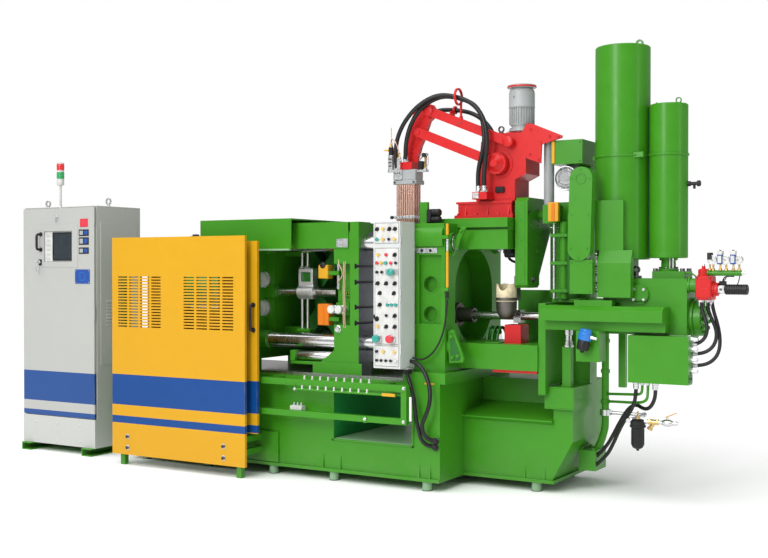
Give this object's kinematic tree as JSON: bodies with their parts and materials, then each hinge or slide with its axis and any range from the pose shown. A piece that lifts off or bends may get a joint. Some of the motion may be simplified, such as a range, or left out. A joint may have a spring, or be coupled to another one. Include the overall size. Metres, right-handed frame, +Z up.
{
  "type": "die casting machine",
  "caption": "Horizontal cold-chamber die casting machine with toggle clamp, tie bars, shot unit, accumulators, spray robot, ladle, safety guards and a control cabinet.",
  "frame": {"origin": "on the floor under the middle of the whole machine's box", "axes": "+X from the clamp end to the shot end, +Y away from the operator's side, +Z up"},
  "size_m": [5.563, 1.31, 2.885],
  "materials": {
    "green_paint": "gloss enamel",
    "cabinet_paint": "fine texture powder coat",
    "yellow_paint": "satin powder coat",
    "red_paint": "gloss enamel",
    "grey_paint": "satin enamel",
    "bare_steel": "machined, oily",
    "chrome_bar": "ground and chromed",
    "cast_iron": "bare, worn",
    "copper_tube": "drawn tube, tarnished",
    "black_plastic": "moulded",
    "blue_plastic": "moulded",
    "signal_lamp": "moulded lens",
    "clear_sheet": "clear sheet",
    "hose_rubber": "matt rubber"
  },
  "bodies": {
    "machine": {"accumulators": "green_paint", "clamp_bed": "green_paint", "clamp_cover": "green_paint", "clamp_cylinder": "green_paint", "control_cabinet": "cabinet_paint", "door_rail_frame": "green_paint", "drip_trays": "red_paint", "drive_motors": "grey_paint", "fixed_platen": "green_paint", "front_guard": "yellow_paint", "guard_frame": "green_paint", "ladle_column": "green_paint", "levelling_feet": "cast_iron", "oil_manifold": "green_paint", "operator_panel": "cabinet_paint", "panel_conduit_a": "hose_rubber", "panel_conduit_b": "hose_rubber", "platen_cable": "hose_rubber", "pressure_gauges": "bare_steel", "rear_platen": "green_paint", "return_hose_a": "hose_rubber", "return_hose_b": "hose_rubber", "service_units": "blue_plastic", "servo_valve": "red_paint", "shot_bed": "green_paint", "shot_cylinder_block": "green_paint", "shot_frame": "green_paint", "shot_hose_a": "hose_rubber", "shot_hose_b": "hose_rubber", "shot_hose_c": "hose_rubber", "shot_sleeve": "cast_iron", "side_covers": "green_paint", "signal_tower": "signal_lamp", "spray_hose_rise_a": "hose_rubber", "spray_hose_rise_b": "hose_rubber", "spray_hose_rise_c": "hose_rubber", "sprayer_turret": "red_paint", "tie_bar_nuts": "green_paint", "tie_bars": "chrome_bar"},
    "safety_door": {"sliding_door": "yellow_paint", "door_window": "clear_sheet", "door_handle": "black_plastic"},
    "cabinet_door_leaf": {"cabinet_door": "cabinet_paint"},
    "clamp_platen": {"moving_platen": "green_paint", "platen_cover": "green_paint"},
    "upper_rear_toggle": {"upper_rear_link": "bare_steel"},
    "upper_front_toggle": {"upper_front_link": "bare_steel"},
    "lower_rear_toggle": {"lower_rear_link": "bare_steel"},
    "lower_front_toggle": {"lower_front_link": "bare_steel"},
    "spray_lower_arm": {"sprayer_lower_arm": "red_paint"},
    "spray_upper_arm": {"sprayer_upper_arm": "red_paint"},
    "spray_wrist": {"sprayer_wrist": "red_paint", "spray_head": "copper_tube", "spray_hose_fall_a": "hose_rubber", "spray_hose_fall_b": "hose_rubber", "spray_hose_fall_c": "hose_rubber"},
    "ladle_swing_arm": {"ladle_arm": "green_paint"},
    "ladle": {"ladle_cup": "cast_iron"},
    "plunger": {"plunger_rod": "bare_steel"}
  },
  "joints": [
    {"name": "safety_door_slide", "type": "slide", "parent": "machine", "child": "safety_door", "axis": [1, 0, 0], "range_m": [0, 0.88]},
    {"name": "cabinet_door_swing", "type": "hinge", "parent": "machine", "child": "cabinet_door_leaf", "pos_m": [-1.9975, -0.495, 1.1], "axis": [0, 0, 1], "range_deg": [0, 120]},
    {"name": "moving_platen_slide", "type": "slide", "parent": "machine", "child": "clamp_platen", "axis": [1, 0, 0], "range_m": [0, 0.22]},
    {"name": "upper_rear_link_turn", "type": "hinge", "parent": "machine", "child": "upper_rear_toggle", "pos_m": [-0.4115, 0.125, 1.587], "axis": [0, -1, 0], "range_deg": [0, 46]},
    {"name": "lower_rear_link_turn", "type": "hinge", "parent": "machine", "child": "lower_rear_toggle", "pos_m": [-0.4115, 0.125, 0.967], "axis": [0, 1, 0], "range_deg": [0, 46]},
    {"name": "upper_front_link_turn", "type": "hinge", "parent": "clamp_platen", "child": "upper_front_toggle", "pos_m": [-0.0615, 0.125, 1.587], "axis": [0, 1, 0], "range_deg": [0, 46]},
    {"name": "lower_front_link_turn", "type": "hinge", "parent": "clamp_platen", "child": "lower_front_toggle", "pos_m": [-0.0615, 0.125, 0.967], "axis": [0, -1, 0], "range_deg": [0, 46]},
    {"name": "spray_arm_swing", "type": "hinge", "parent": "machine", "child": "spray_upper_arm", "pos_m": [1.2645, -0.025, 2.276], "axis": [0, 1, 0], "range_deg": [-30, 20], "deforming": ["spray_hose_rise_a", "spray_hose_rise_b", "spray_hose_rise_c", "spray_hose_fall_a", "spray_hose_fall_b", "spray_hose_fall_c"]},
    {"name": "spray_lower_arm_turn", "type": "hinge", "parent": "machine", "child": "spray_lower_arm", "pos_m": [1.1845, -0.025, 2.136], "axis": [0, 1, 0], "range_deg": [-31, 21]},
    {"name": "spray_wrist_turn", "type": "hinge", "parent": "spray_upper_arm", "child": "spray_wrist", "pos_m": [0.6735, -0.025, 2.518], "axis": [0, 1, 0], "range_deg": [-21, 31]},
    {"name": "ladle_arm_swing", "type": "hinge", "parent": "machine", "child": "ladle_swing_arm", "pos_m": [1.3515, 0.17, 1.8], "axis": [-1, 0, 0], "range_deg": [0, 55]},
    {"name": "ladle_cup_turn", "type": "hinge", "parent": "ladle_swing_arm", "child": "ladle", "pos_m": [1.3515, 0.065, 1.375], "axis": [-1, 0, 0], "range_deg": [-56, 1]},
    {"name": "plunger_slide", "type": "slide", "parent": "machine", "child": "plunger", "axis": [1, 0, 0], "range_m": [0, 0.3]}
  ],
  "couplings": [
    {"joint": "upper_rear_link_turn", "follows": "moving_platen_slide", "rad_per_m": 3.6224},
    {"joint": "lower_rear_link_turn", "follows": "moving_platen_slide", "rad_per_m": 3.6224},
    {"joint": "upper_front_link_turn", "follows": "moving_platen_slide", "rad_per_m": 3.6224},
    {"joint": "lower_front_link_turn", "follows": "moving_platen_slide", "rad_per_m": 3.6224},
    {"joint": "spray_lower_arm_turn", "follows": "spray_arm_swing", "ratio": 1},
    {"joint": "spray_wrist_turn", "follows": "spray_arm_swing", "ratio": -1},
    {"joint": "ladle_cup_turn", "follows": "ladle_arm_swing", "ratio": -1}
  ]
}
